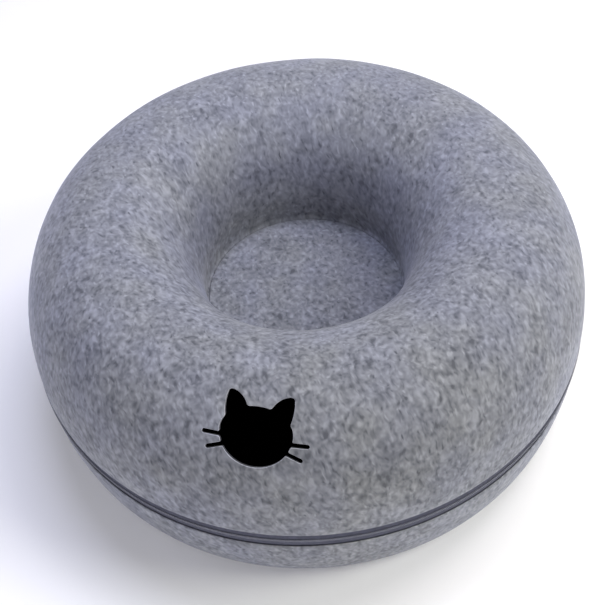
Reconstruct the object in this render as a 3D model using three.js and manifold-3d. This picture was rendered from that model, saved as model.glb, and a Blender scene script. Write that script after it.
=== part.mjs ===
// A felt donut cat bed: a hollow ring moulded in two felt shells, closed by a zip round its widest line.
//
// The top shell rolls over into a sleeping well and turns in under the well's round felt floor. The bottom
// shell is a shallow tray. A cat-head peephole is cut through the ring's shoulder, facing -Y, and the zip's
// slider is at the back, at +Y.
//
// Millimetres, +Z up, origin on the ground under the middle of the well.

import * as THREE from "three";
import { mergeVertices } from "three/addons/utils/BufferGeometryUtils.js";
import Module from "manifold-3d";

const wasm = await Module();
wasm.setup();

// ---- Driving dimensions ----

const OUTER_RADIUS = 250;       // widest line of the ring
const HEIGHT = 200;             // top of the ring
const CREST_RADIUS = 169;       // where the ring is highest
const BASE_RADIUS = 229.5;      // where the side wall meets the flat base
const WELL_RADIUS = 89.5;       // foot of the well's wall
const WELL_FLOOR_HEIGHT = 89;   // top face of the round floor
const FELT = 4;                 // thickness of every felt piece
const SEAM_HEIGHT = 77;         // middle of the gap between the two felt edges
const SEAM_GAP = 19;
const ZIP_HEIGHT = 78.8;        // middle of the coil, a little nearer to the upper edge
const CLEARANCE = 0.3;          // between pieces that touch
const LIP_WIDTH = 15;           // turned-in lip that carries the round floor
const AROUND = 48;              // facets round the ring

const WIDEST_HEIGHT = SEAM_HEIGHT + SEAM_GAP / 2;
const LIP_TOP = WELL_FLOOR_HEIGHT - FELT - CLEARANCE;

// How full each rounded quarter of the ring's section is: 2 is an ellipse, more is squarer.
const FULLNESS = { dome: 2.18, well: 2.15, wall: 2.2 };

// The felt is pressed thin along both seam edges, where the zip is sewn behind it.
const PRESSED = { height: 10, taper: 6, thickness: 1.2 };

// Zip: two tapes that bow out into the gap, a coil on each, and the slider with its pull.
const TAPE = { hemRadius: 247.9, faceRadius: 249.3, thickness: 1, width: 16, faceWidth: 5.2 };
const TAPE_BOW = { upper: 2.4, lower: 5.6 }; // how far each tape takes to fall back from its face to its hem
const COIL = { innerRadius: TAPE.faceRadius + CLEARANCE, depth: 1.1, width: 1.6, gapAtSlider: 12 };
const SLIDER = { backY: COIL.innerRadius, depth: 2, length: 10, wide: 7.6, narrow: 5 };
const BRIDGE = { span: 5, leg: 0.9, bar: 0.8, rise: 2.2, width: 1.6 };
const PULL = { length: 22, width: 6, thickness: 0.8, endBar: 1.8, holeLength: 3.6, holeWidth: 3.8 };

// Cat-head peephole, drawn flat: x to the right, y up the slope of the ring, from the middle of the face.
const PEEPHOLE = { height: 181.4, tiltDegrees: -3.5, cutDepth: 25 };
const FACE = { halfWidth: 27.8, above: 19.3, below: 26.8 };
const EAR = { rootX: 8.5, outerX: 24.5, outerY: 9, bulge: 26.8, tipX: 22.6, tipY: 26.2, tipRadius: 2.6 };
const WHISKER_WIDTH = 3.4;
const WHISKERS = [
  { rootX: 22, rootY: -5.2, tipX: 39, tipY: -4.8 },
  { rootX: 20, rootY: -10.8, tipX: 35.2, tipY: -16.2 },
];

const FELT_GREY = new THREE.MeshStandardMaterial({ color: "#84868f", roughness: 1, metalness: 0 });
const TAPE_GREY = new THREE.MeshStandardMaterial({ color: "#3f4150", roughness: 0.9, metalness: 0 });
const COIL_GREY = new THREE.MeshStandardMaterial({ color: "#7a7c86", roughness: 0.5, metalness: 0 });
const DARK_METAL = new THREE.MeshStandardMaterial({ color: "#4a4c54", roughness: 0.4, metalness: 0.9 });

// ---- Section of the ring, as [radius, height] points ----

// A rounded quarter that bulges radiusR from centreR and rises radiusZ from centreZ.
function quarter({ centreR, centreZ, radiusR, radiusZ, fullness, fromZ, toZ, steps }) {
  const angleAt = (z) => Math.asin(((z - centreZ) / radiusZ) ** (fullness / 2));
  const start = angleAt(fromZ);
  const end = angleAt(toZ);
  const points = [];
  for (let i = 0; i <= steps; i += 1) {
    const angle = start + (end - start) * (i / steps);
    const r = centreR + radiusR * Math.cos(angle) ** (2 / fullness);
    const z = centreZ + radiusZ * Math.sin(angle) ** (2 / fullness);
    points.push(new THREE.Vector2(r, z));
  }
  return points;
}

// The felt's thickness at a height: thin at the seam edges, full past the taper.
function feltThickness(z) {
  const fromEdge = Math.abs(z - SEAM_HEIGHT) - SEAM_GAP / 2;
  const share = THREE.MathUtils.clamp((fromEdge - PRESSED.height) / PRESSED.taper, 0, 1);
  return THREE.MathUtils.lerp(PRESSED.thickness, FELT, share);
}

// The felt's other face: the same line moved to its left, which is towards the hollow of the ring.
function otherFace(line, thicknessAt) {
  return line.map((point, i) => {
    const before = line[Math.max(i - 1, 0)];
    const after = line[Math.min(i + 1, line.length - 1)];
    const along = new THREE.Vector2().subVectors(after, before).normalize();
    const distance = thicknessAt(point.y);
    return new THREE.Vector2(point.x - along.y * distance, point.y + along.x * distance);
  });
}

// Quarters that follow one curve, joined without repeating the points they share.
function joinedQuarters(curve, stretches) {
  const lines = stretches.map(([fromZ, toZ, steps]) => quarter({ ...curve, fromZ, toZ, steps }));
  return lines.flatMap((line, i) => (i === 0 ? line : line.slice(1)));
}

function domeLine() {
  const curve = {
    centreR: CREST_RADIUS,
    centreZ: WIDEST_HEIGHT,
    radiusR: OUTER_RADIUS - CREST_RADIUS,
    radiusZ: HEIGHT - WIDEST_HEIGHT,
    fullness: FULLNESS.dome,
  };
  const pressedTop = WIDEST_HEIGHT + PRESSED.height;
  const taperTop = pressedTop + PRESSED.taper;
  return joinedQuarters(curve, [[WIDEST_HEIGHT, pressedTop, 1], [pressedTop, taperTop, 1], [taperTop, HEIGHT, 8]]);
}

function wellLine() {
  const curve = {
    centreR: CREST_RADIUS,
    centreZ: WELL_FLOOR_HEIGHT,
    radiusR: WELL_RADIUS - CREST_RADIUS,
    radiusZ: HEIGHT - WELL_FLOOR_HEIGHT,
    fullness: FULLNESS.well,
  };
  return joinedQuarters(curve, [[HEIGHT, WELL_FLOOR_HEIGHT, 9]]);
}

function wallLine() {
  const curve = {
    centreR: BASE_RADIUS,
    centreZ: WIDEST_HEIGHT,
    radiusR: OUTER_RADIUS - BASE_RADIUS,
    radiusZ: -WIDEST_HEIGHT,
    fullness: FULLNESS.wall,
  };
  const edge = SEAM_HEIGHT - SEAM_GAP / 2;
  const pressedLow = edge - PRESSED.height;
  const taperLow = pressedLow - PRESSED.taper;
  return joinedQuarters(curve, [[0, taperLow, 6], [taperLow, pressedLow, 1], [pressedLow, edge, 1]]);
}

// ---- Solids ----

// Only positions, with shared corners merged.
function closedGeometry(geometry) {
  const bare = geometry.clone();
  bare.deleteAttribute("normal");
  bare.deleteAttribute("uv");
  return mergeVertices(bare, 1e-3);
}

function toSolid(geometry) {
  const merged = closedGeometry(geometry);
  const mesh = new wasm.Mesh({
    numProp: 3,
    vertProperties: new Float32Array(merged.attributes.position.array),
    triVerts: new Uint32Array(merged.index.array),
  });
  return new wasm.Manifold(mesh);
}

function toGeometry(solid) {
  const mesh = solid.getMesh();
  const geometry = new THREE.BufferGeometry();
  geometry.setAttribute("position", new THREE.BufferAttribute(new Float32Array(mesh.vertProperties), 3));
  geometry.setIndex(new THREE.BufferAttribute(new Uint32Array(mesh.triVerts), 1));
  return geometry;
}

// A section of [radius, height] points turned about the vertical axis. One that starts and ends on the axis
// stays as it is, and any other closes on itself.
function turned(section) {
  const onAxis = section[0].x === 0;
  const line = onAxis ? section : [...section, section[0]];
  const geometry = new THREE.LatheGeometry(line, AROUND);
  geometry.rotateX(Math.PI / 2);
  return closedGeometry(geometry);
}

function points(pairs) {
  return pairs.map(([r, z]) => new THREE.Vector2(r, z));
}

// A ring with a rectangular section.
function band(innerRadius, outerRadius, lowZ, highZ) {
  return turned(points([[innerRadius, lowZ], [outerRadius, lowZ], [outerRadius, highZ], [innerRadius, highZ]]));
}

// A flat outline, drawn as it is seen from +Y, that stands between two Y planes.
function plateFacingBack(shape, nearY, farY) {
  const depth = farY - nearY;
  const geometry = new THREE.ExtrudeGeometry(shape, { depth, bevelEnabled: false, curveSegments: 5 });
  geometry.rotateX(-Math.PI / 2);
  geometry.rotateY(Math.PI);
  geometry.translate(0, nearY, ZIP_HEIGHT);
  return geometry;
}

// ---- Cat-head peephole ----

function faceShape() {
  const shape = new THREE.Shape();
  shape.absellipse(0, 0, FACE.halfWidth, FACE.above, 0, Math.PI, false);
  shape.absellipse(0, 0, FACE.halfWidth, FACE.below, Math.PI, 2 * Math.PI, false);
  return shape;
}

// A leaf-shaped ear with a rounded tip. side is -1 for the left ear and 1 for the right one.
function earShape(side) {
  const shape = new THREE.Shape();
  const rootY = FACE.above - 2;
  const top = EAR.tipY + EAR.tipRadius;
  shape.moveTo(side * EAR.rootX, rootY);
  shape.quadraticCurveTo(side * (EAR.rootX + 4), top - 2, side * (EAR.tipX - 1), top);
  shape.quadraticCurveTo(side * (EAR.tipX + EAR.tipRadius), top, side * (EAR.tipX + EAR.tipRadius), EAR.tipY);
  shape.quadraticCurveTo(side * EAR.bulge, (EAR.tipY + EAR.outerY) / 2, side * EAR.outerX, EAR.outerY);
  shape.closePath();
  return shape;
}

// A straight slot with round ends.
function whiskerShape({ rootX, rootY, tipX, tipY }, side) {
  const angle = Math.atan2(tipY - rootY, side * (tipX - rootX));
  const radius = WHISKER_WIDTH / 2;
  const quarterTurn = Math.PI / 2;
  const shape = new THREE.Shape();
  shape.absarc(side * tipX, tipY, radius, angle - quarterTurn, angle + quarterTurn, false);
  shape.absarc(side * rootX, rootY, radius, angle + quarterTurn, angle + 3 * quarterTurn, false);
  shape.closePath();
  return shape;
}

// Where the figure sits on the dome, square to its surface.
function peepholePlace() {
  const across = OUTER_RADIUS - CREST_RADIUS;
  const rise = HEIGHT - WIDEST_HEIGHT;
  const up = (PEEPHOLE.height - WIDEST_HEIGHT) / rise;
  const out = (1 - up ** FULLNESS.dome) ** (1 / FULLNESS.dome);
  const normalOut = out ** (FULLNESS.dome - 1) / across;
  const normalUp = up ** (FULLNESS.dome - 1) / rise;
  const place = new THREE.Object3D();
  place.position.set(0, -(CREST_RADIUS + across * out), PEEPHOLE.height);
  place.rotation.set(Math.atan2(normalOut, normalUp), 0, 0);
  place.rotateZ(THREE.MathUtils.degToRad(PEEPHOLE.tiltDegrees));
  place.updateMatrix();
  return place.matrix;
}

function peepholeCutter() {
  const shapes = [faceShape()];
  for (const side of [-1, 1]) {
    shapes.push(earShape(side));
    shapes.push(...WHISKERS.map((whisker) => whiskerShape(whisker, side)));
  }
  const solids = shapes.map((shape) => {
    const depth = 2 * PEEPHOLE.cutDepth;
    const geometry = new THREE.ExtrudeGeometry(shape, { depth, bevelEnabled: false, curveSegments: 8 });
    geometry.translate(0, 0, -PEEPHOLE.cutDepth);
    geometry.applyMatrix4(peepholePlace());
    return toSolid(geometry);
  });
  return solids.reduce((joined, solid) => joined.add(solid));
}

// ---- Pieces ----

function topShell() {
  const outside = [...domeLine(), ...wellLine().slice(1)];
  const lipInnerRadius = WELL_RADIUS - LIP_WIDTH;
  const lip = points([[WELL_RADIUS, LIP_TOP], [lipInnerRadius, LIP_TOP], [lipInnerRadius, LIP_TOP - FELT]]);
  const bend = [0, 1, 2, 3].map((step) => {
    const angle = -Math.PI / 2 + (step / 3) * (Math.PI / 2);
    const r = WELL_RADIUS + FELT * Math.cos(angle);
    return new THREE.Vector2(r, LIP_TOP + FELT * Math.sin(angle));
  });
  const inside = [...otherFace(domeLine(), feltThickness), ...otherFace(wellLine(), () => FELT).slice(1)];
  const shell = turned([...outside, ...lip, ...bend, ...inside.reverse()]);
  return toGeometry(toSolid(shell).subtract(peepholeCutter()));
}

function bottomShell() {
  const outside = wallLine();
  const axis = points([[0, 0]]);
  const insideAxis = points([[0, FELT]]);
  return turned([...axis, ...outside, ...otherFace(outside, feltThickness).reverse(), ...insideAxis]);
}

function wellFloor() {
  const radius = WELL_RADIUS - CLEARANCE;
  const low = WELL_FLOOR_HEIGHT - FELT;
  return turned(points([[0, low], [radius, low], [radius, WELL_FLOOR_HEIGHT], [0, WELL_FLOOR_HEIGHT]]));
}

// The tape's hem lies behind the felt and its face bows out into the gap.
// side is 1 for the tape on the top shell and -1 for the one on the bottom shell.
function zipTape(side) {
  const bow = side > 0 ? TAPE_BOW.upper : TAPE_BOW.lower;
  const heights = [CLEARANCE / 2, TAPE.faceWidth, TAPE.faceWidth + bow, TAPE.width];
  const radii = [TAPE.faceRadius, TAPE.faceRadius, TAPE.hemRadius, TAPE.hemRadius];
  const front = points(heights.map((height, i) => [radii[i], ZIP_HEIGHT + side * height]));
  const back = front.map((point) => new THREE.Vector2(point.x - TAPE.thickness, point.y)).reverse();
  const section = [...front, ...back];
  return turned(side > 0 ? section : section.reverse());
}

// The closed coil, open only where the slider sits.
function zipCoil(side) {
  const near = CLEARANCE / 2;
  const edges = [ZIP_HEIGHT + side * near, ZIP_HEIGHT + side * (near + COIL.width)].sort((a, b) => a - b);
  const ring = band(COIL.innerRadius, COIL.innerRadius + COIL.depth, ...edges);
  const gap = new THREE.BoxGeometry(COIL.gapAtSlider, OUTER_RADIUS, HEIGHT);
  gap.translate(0, OUTER_RADIUS, ZIP_HEIGHT);
  return toGeometry(toSolid(ring).subtract(toSolid(gap)));
}

// A tapered body, with the arch that holds the pull.
function zipSlider() {
  const half = SLIDER.length / 2;
  const body = new THREE.Shape();
  body.moveTo(-half, -SLIDER.narrow / 2);
  body.lineTo(-half / 2, -SLIDER.wide / 2);
  body.lineTo(half, -SLIDER.wide / 2);
  body.lineTo(half, SLIDER.wide / 2);
  body.lineTo(-half / 2, SLIDER.wide / 2);
  body.lineTo(-half, SLIDER.narrow / 2);
  body.closePath();
  const frontY = SLIDER.backY + SLIDER.depth;
  const plate = toSolid(plateFacingBack(body, SLIDER.backY, frontY));

  const arch = new THREE.Shape();
  const outer = BRIDGE.span / 2;
  const inner = outer - BRIDGE.leg;
  const sunk = frontY - 0.5;
  arch.moveTo(-outer, sunk);
  arch.lineTo(-inner, sunk);
  arch.lineTo(-inner, frontY + BRIDGE.rise - BRIDGE.bar);
  arch.lineTo(inner, frontY + BRIDGE.rise - BRIDGE.bar);
  arch.lineTo(inner, sunk);
  arch.lineTo(outer, sunk);
  arch.lineTo(outer, frontY + BRIDGE.rise);
  arch.lineTo(-outer, frontY + BRIDGE.rise);
  arch.closePath();
  const bridge = new THREE.ExtrudeGeometry(arch, { depth: BRIDGE.width, bevelEnabled: false });
  bridge.translate(0, 0, ZIP_HEIGHT - BRIDGE.width / 2);
  return toGeometry(plate.add(toSolid(bridge)));
}

// A flat tab hung on the arch by its end bar, lying along the coil.
function zipPull() {
  const start = -PULL.endBar / 2;
  const end = start + PULL.length;
  const half = PULL.width / 2;
  const tab = new THREE.Shape();
  tab.moveTo(start, -half);
  tab.lineTo(end - half, -half);
  tab.absarc(end - half, 0, half, -Math.PI / 2, Math.PI / 2, false);
  tab.lineTo(start, half);
  tab.closePath();
  const hole = new THREE.Path();
  const holeStart = start + PULL.endBar;
  const holeHalf = PULL.holeWidth / 2;
  hole.moveTo(holeStart, -holeHalf);
  hole.lineTo(holeStart, holeHalf);
  hole.lineTo(holeStart + PULL.holeLength, holeHalf);
  hole.lineTo(holeStart + PULL.holeLength, -holeHalf);
  hole.closePath();
  tab.holes.push(hole);
  const nearY = SLIDER.backY + SLIDER.depth + CLEARANCE;
  return closedGeometry(plateFacingBack(tab, nearY, nearY + PULL.thickness));
}

// ---- Assembly ----

const bed = new THREE.Group();

function addPiece(name, geometry, material) {
  const mesh = new THREE.Mesh(geometry, material);
  mesh.name = name;
  bed.add(mesh);
}

addPiece("felt_top_shell", topShell(), FELT_GREY);
addPiece("felt_bottom_shell", bottomShell(), FELT_GREY);
addPiece("well_floor", wellFloor(), FELT_GREY);
addPiece("zip_tape_upper", zipTape(1), TAPE_GREY);
addPiece("zip_tape_lower", zipTape(-1), TAPE_GREY);
addPiece("zip_coil_upper", zipCoil(1), COIL_GREY);
addPiece("zip_coil_lower", zipCoil(-1), COIL_GREY);
addPiece("zip_slider", zipSlider(), DARK_METAL);
addPiece("zip_pull", zipPull(), DARK_METAL);

export default bed;
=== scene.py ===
# %% [markdown]
# # A felt donut cat bed
#
# The bed is a hollow ring of stiff grey felt, half a metre across. Two moulded felt shells are joined by
# a zip that runs round the widest line. A round felt floor lies in the well in the middle, and a small
# peephole in the shape of a cat's head is cut through the front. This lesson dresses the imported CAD
# model with fine pieces and procedural finishes, one piece at a time.

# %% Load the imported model
import math

import bpy
from mathutils import Matrix, Vector


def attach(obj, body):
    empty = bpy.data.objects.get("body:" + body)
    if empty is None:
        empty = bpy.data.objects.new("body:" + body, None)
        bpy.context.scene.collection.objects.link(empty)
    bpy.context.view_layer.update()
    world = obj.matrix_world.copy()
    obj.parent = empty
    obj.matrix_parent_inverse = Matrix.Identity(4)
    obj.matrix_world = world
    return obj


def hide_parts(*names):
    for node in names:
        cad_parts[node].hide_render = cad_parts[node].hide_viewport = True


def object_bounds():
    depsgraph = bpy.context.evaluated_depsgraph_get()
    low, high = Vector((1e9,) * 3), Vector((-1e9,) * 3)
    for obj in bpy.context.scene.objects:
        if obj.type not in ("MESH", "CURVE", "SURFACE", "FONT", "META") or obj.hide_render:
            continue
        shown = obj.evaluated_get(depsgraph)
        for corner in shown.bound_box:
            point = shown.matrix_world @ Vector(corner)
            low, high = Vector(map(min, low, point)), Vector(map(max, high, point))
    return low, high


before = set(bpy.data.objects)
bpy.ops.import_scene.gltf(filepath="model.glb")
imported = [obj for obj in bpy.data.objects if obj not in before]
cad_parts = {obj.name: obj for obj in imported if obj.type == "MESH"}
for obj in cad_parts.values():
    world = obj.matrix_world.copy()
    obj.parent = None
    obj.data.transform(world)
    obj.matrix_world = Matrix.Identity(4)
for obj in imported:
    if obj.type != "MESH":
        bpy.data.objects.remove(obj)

cad_low, cad_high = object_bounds()
MM = 0.001
print("CAD box in mm:", [round(side / MM) for side in cad_high - cad_low], "nodes:", len(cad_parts))

# %% [markdown]
# ## Camera
#
# The camera comes first, because every piece is seen through it. It looks down at the bed from the
# front at about 50 degrees and stands a metre away, as a person does who holds a camera over a bed on
# the floor. Three arrows, right, up and back, make the camera's rotation. This is easier to reason about
# than three Euler angles. A slight roll is added last, about the line of sight.

# %% Camera
ELEVATION = math.radians(50.5)
AZIMUTH = math.radians(12.3)
ROLL = -0.083
STAND_OFF = 1.0
LENS = 65.1  # millimetres on the usual 36 mm sensor
AIM_LEFT, AIM_BELOW = 4.0, 19.5  # mm from the bed's middle to the point that the camera looks at

back = Vector((
    math.sin(AZIMUTH) * math.cos(ELEVATION),
    -math.cos(AZIMUTH) * math.cos(ELEVATION),
    math.sin(ELEVATION),
))
right = Vector((math.cos(AZIMUTH), math.sin(AZIMUTH), 0))
up = back.cross(right)
middle = Vector((0, 0, (cad_low.z + cad_high.z) / 2))
aim = middle - right * AIM_LEFT * MM - up * AIM_BELOW * MM

bpy.ops.object.camera_add()
camera = bpy.context.object
camera.name = "bed_camera"
camera.data.lens = LENS
turned = Matrix((right, up, back)).transposed().to_4x4()
camera.matrix_world = Matrix.Translation(aim + back * STAND_OFF) @ turned @ Matrix.Rotation(ROLL, 4, "Z")
bpy.context.scene.camera = camera
print("camera at", [round(value, 3) for value in camera.matrix_world.translation])

# %% [markdown]
# ## Helpers for drawing in edit mode
#
# Nearly every piece here is round, so it starts as a line: half of its section. In Blender this is drawn
# by extruding one vertex from point to point, and then the Spin tool sweeps the line round the Z axis.
# The line of the felt is not a circle. It is a superellipse, which is a little fuller at the shoulders,
# as moulded felt is. Points are spread evenly along it, so that all faces have about the same size.

# %% Section lines
CURVE_STEPS = 600  # fine enough to measure lengths along the curve


def rounded_quarter(centre, reach, fullness, from_z, to_z):
    """Points (radius, height) in mm on a superellipse quarter, from one height to another."""
    def angle_at(z):
        return math.asin(min(abs((z - centre[1]) / reach[1]), 1) ** (fullness / 2))

    start, end = angle_at(from_z), angle_at(to_z)
    points = []
    for i in range(CURVE_STEPS + 1):
        angle = start + (end - start) * i / CURVE_STEPS
        across = max(math.cos(angle), 0) ** (2 / fullness)
        rise = max(math.sin(angle), 0) ** (2 / fullness)
        points.append((centre[0] + reach[0] * across, centre[1] + reach[1] * rise))
    return points


def corner(centre, radius, from_degrees, to_degrees, steps=4):
    """Points (radius, height) in mm on an arc."""
    angles = [math.radians(from_degrees + (to_degrees - from_degrees) * i / steps) for i in range(steps + 1)]
    return [(centre[0] + radius * math.cos(a), centre[1] + radius * math.sin(a)) for a in angles]


def evenly(points, spacing):
    """The same line with its points about this far apart."""
    reached = [0.0]
    for a, b in zip(points, points[1:]):
        reached.append(reached[-1] + math.dist(a, b))
    count = max(2, round(reached[-1] / spacing))
    result = []
    i = 0
    for step in range(count + 1):
        goal = reached[-1] * step / count
        while i < len(points) - 2 and reached[i + 1] < goal:
            i += 1
        share = (goal - reached[i]) / max(reached[i + 1] - reached[i], 1e-9)
        result.append(tuple(p + (q - p) * share for p, q in zip(points[i], points[i + 1])))
    return result


# %% Draw a line and spin it
SEAM_MERGE = 0.01  # mm; points of a closed seam or pole that lie nearer than this become one


def deselect_everything():
    if bpy.context.object and bpy.context.object.mode != "OBJECT":
        bpy.ops.object.mode_set(mode="OBJECT")
    bpy.ops.object.select_all(action="DESELECT")


def pick(piece):
    """Makes this the one selected and active object."""
    deselect_everything()
    bpy.context.view_layer.objects.active = piece
    piece.select_set(True)


def draw_line(name, points):
    """A new object whose mesh is one line, extruded vertex by vertex. The points are in metres."""
    deselect_everything()
    bpy.ops.mesh.primitive_plane_add(size=MM)
    line = bpy.context.object
    line.name = line.data.name = name
    bpy.ops.object.mode_set(mode="EDIT")
    bpy.ops.mesh.select_mode(type="VERT")
    bpy.ops.mesh.select_all(action="SELECT")
    bpy.ops.mesh.merge(type="CENTER")
    bpy.ops.transform.translate(value=points[0])
    for here, there in zip(points, points[1:]):
        step = Vector(there) - Vector(here)
        bpy.ops.mesh.extrude_vertices_move(TRANSFORM_OT_translate={"value": step})
    return line


def draw_section(name, section):
    """The same for a section of (radius, height) points in mm, drawn in the XZ plane."""
    return draw_line(name, [(radius * MM, 0, height * MM) for radius, height in section])


def turn_outwards():
    """Makes every face of the mesh in edit mode point outwards, and leaves edit mode."""
    bpy.ops.mesh.select_all(action="SELECT")
    bpy.ops.mesh.normals_make_consistent(inside=False)
    bpy.ops.object.mode_set(mode="OBJECT")


def spin_round(steps):
    """Sweeps the line in edit mode once round the Z axis and closes the seam and the pole."""
    bpy.ops.mesh.select_all(action="SELECT")
    bpy.ops.mesh.spin(steps=steps, angle=math.tau, center=(0, 0, 0), axis=(0, 0, 1))
    bpy.ops.mesh.select_all(action="SELECT")
    bpy.ops.mesh.remove_doubles(threshold=SEAM_MERGE * MM)
    turn_outwards()


def apply_modifier(piece, kind, **settings):
    """Adds one modifier with its settings and applies it."""
    pick(piece)
    modifier = piece.modifiers.new(kind.title(), kind)
    for setting, value in settings.items():
        setattr(modifier, setting, value)
    bpy.ops.object.modifier_apply(modifier=modifier.name)


def soften_edges(piece, width, degrees, segments=2):
    """Bevels the edges that turn by more than this, by a width in mm."""
    apply_modifier(
        piece,
        "BEVEL",
        width=width * MM,
        segments=segments,
        limit_method="ANGLE",
        angle_limit=math.radians(degrees),
    )


def smooth(piece, degrees=40):
    pick(piece)
    bpy.ops.object.shade_smooth_by_angle(angle=math.radians(degrees))
    print(piece.name, "has", sum(len(face.vertices) - 2 for face in piece.data.polygons), "triangles")


# %% [markdown]
# ## Finishes: the helper
#
# A material is a tree of nodes. One small function adds a node, gives it its settings, and fills or
# links its inputs. An input is named by its label, or by its number from the top: Map Range takes its
# value in 0, the range that it comes from in 1 and 2, and the range that it goes to in 3 and 4. Colours
# are written as on the web, in sRGB hex, and another function turns them into the linear numbers that
# Blender's shader works with. All patterns are sized in millimetres.

# %% Finish helpers
def linear(hex_colour):
    """An sRGB hex colour as the linear RGBA that sockets take."""
    channels = [int(hex_colour[i:i + 2], 16) / 255 for i in (1, 3, 5)]
    return [c / 12.92 if c <= 0.04045 else ((c + 0.055) / 1.055) ** 2.4 for c in channels] + [1.0]


def add_node(material, kind, inputs=None, stops=(), **settings):
    """Adds a node. An input is a plain value, a node, whose first output is linked, or an output.

    A colour ramp also gets its stops, each one a position from 0 to 1 and a colour.
    """
    tree = material.node_tree
    node = tree.nodes.new("ShaderNode" + kind)
    for setting, value in settings.items():
        setattr(node, setting, value)
    for slot, value in (inputs or {}).items():
        if isinstance(value, bpy.types.Node):
            value = value.outputs[0]
        if isinstance(value, bpy.types.NodeSocket):
            tree.links.new(value, node.inputs[slot])
        else:
            node.inputs[slot].default_value = value
    if stops:
        elements = node.color_ramp.elements
        while len(elements) < len(stops):
            elements.new(0.5)
        for element, (position, colour) in zip(elements, stops):
            element.position = position
            element.color = colour
    return node


def new_finish(name):
    """A material with no nodes yet."""
    material = bpy.data.materials.new(name)
    material.use_nodes = True
    material.node_tree.nodes.clear()
    return material


def in_millimetres(material):
    """The place on the piece, in mm from the middle of the bed's base."""
    place = add_node(material, "TexCoord").outputs["Object"]
    return add_node(material, "VectorMath", {0: place, "Scale": 1 / MM}, operation="SCALE")


def finish_with(material, shader):
    """Links the shader to the material's output."""
    add_node(material, "OutputMaterial", {"Surface": shader})
    return material


print("half of white on screen is", round(linear("#808080")[0], 2), "of its light")

# %% [markdown]
# ## Finish: needle-punched heather felt
#
# The felt is recycled polyester fibre, needled into a thick sheet and moulded with heat. Fibres of
# several greys, some bluish and some warm, are mixed before the needling, so the sheet shows light and
# dark flecks a few millimetres long. They lie a little more along the sheet's own direction than across
# it, and run down the well where the mould has pulled them. The surface is quite matt, with a fuzz that
# is pale where it is seen edge on, so it gets a high roughness and some sheen.
#
# Each family of fibres is a noise pattern stretched along one direction. Three families are laid over
# each other: two lean down the front slope, and one stands upright as the mould has pulled it. A
# narrower noise, cubed so that only its peaks count, adds single light and dark hairs. A slow noise
# bends them all, so that no line runs straight for long. Two slower patterns stand for uneven mixing:
# one makes patches lighter and darker, and one makes them cooler and warmer. A wide spot at the front
# right is painted warmer still, a painted pool of warm light, and the flecks stand out less towards the
# back.
#
# A short list of heights paints shade on the well's wall: the felt there is drawn darker, most of all half
# way down, and a little bluish, as the deep well lies in shade. Outside the well, the felt below about
# 105 mm is painted a tenth paler, fading out by 140 mm: painted light on the low sides of the bed.

# %% Felt: fibres and flecks
FLECK_LENGTH = 7.0  # mm; a real fibre is finer than this, but a clump of fibres is what the eye sees
FLECK_WIDTH = 4.3  # mm
FIBRE_FAMILIES = [(0.0, 0.68, -0.95), (0.0, 1.1, -0.9), (0.0, math.pi / 2, 0.3)]  # how each one is turned
FAMILY_SHIFT = (37.0, 11.0, 5.0)  # mm; keeps one family's noise from falling on the next one's
FLECK_SPREAD = 0.127  # how far the mean of all the noises strays from a half
HAIR_LENGTH, HAIR_WIDTH, HAIR_DIRECTION = 7.5, 2.5, (0.0, 0.9, -0.9)  # mm, mm, and how they are turned
HAIR_PEAK, HAIR_SHARE = 2.5, 0.09  # how far the peaks stand out before cubing, and their weight after it
BEND_SIZE, BEND_REACH = 12.0, 6.0  # mm
PATCH_SIZE, PATCH_SHARE = 25.0, 0.65  # mm, and the weight next to that of one family
EVEN_FROM, EVEN_TO, EVEN_SHARE = -120.0, 160.0, 0.75  # mm from front to back; flecks show less there


def lying_fibres(felt, place, direction, length, width, shift=(0.0, 0.0, 0.0), detail=1.0):
    """A noise drawn out along one direction. All sizes are in mm."""
    along = add_node(
        felt,
        "Mapping",
        {"Vector": place, "Location": shift, "Rotation": direction, "Scale": (length, width, width)},
        vector_type="TEXTURE",
    )
    return add_node(felt, "TexNoise", {"Vector": along, "Scale": 1.0, "Detail": detail})


def bent_place(felt, in_mm):
    """The place, pushed to and fro by a slow noise."""
    bend = add_node(
        felt, "TexNoise", {"Vector": in_mm, "Scale": 1 / BEND_SIZE, "Detail": 1.0}
    ).outputs["Color"]
    centred = add_node(felt, "VectorMath", {0: bend, 1: (0.5, 0.5, 0.5)}, operation="SUBTRACT")
    pushed = add_node(felt, "VectorMath", {0: centred, "Scale": BEND_REACH}, operation="SCALE")
    return add_node(felt, "VectorMath", {0: in_mm, 1: pushed}, operation="ADD")


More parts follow.
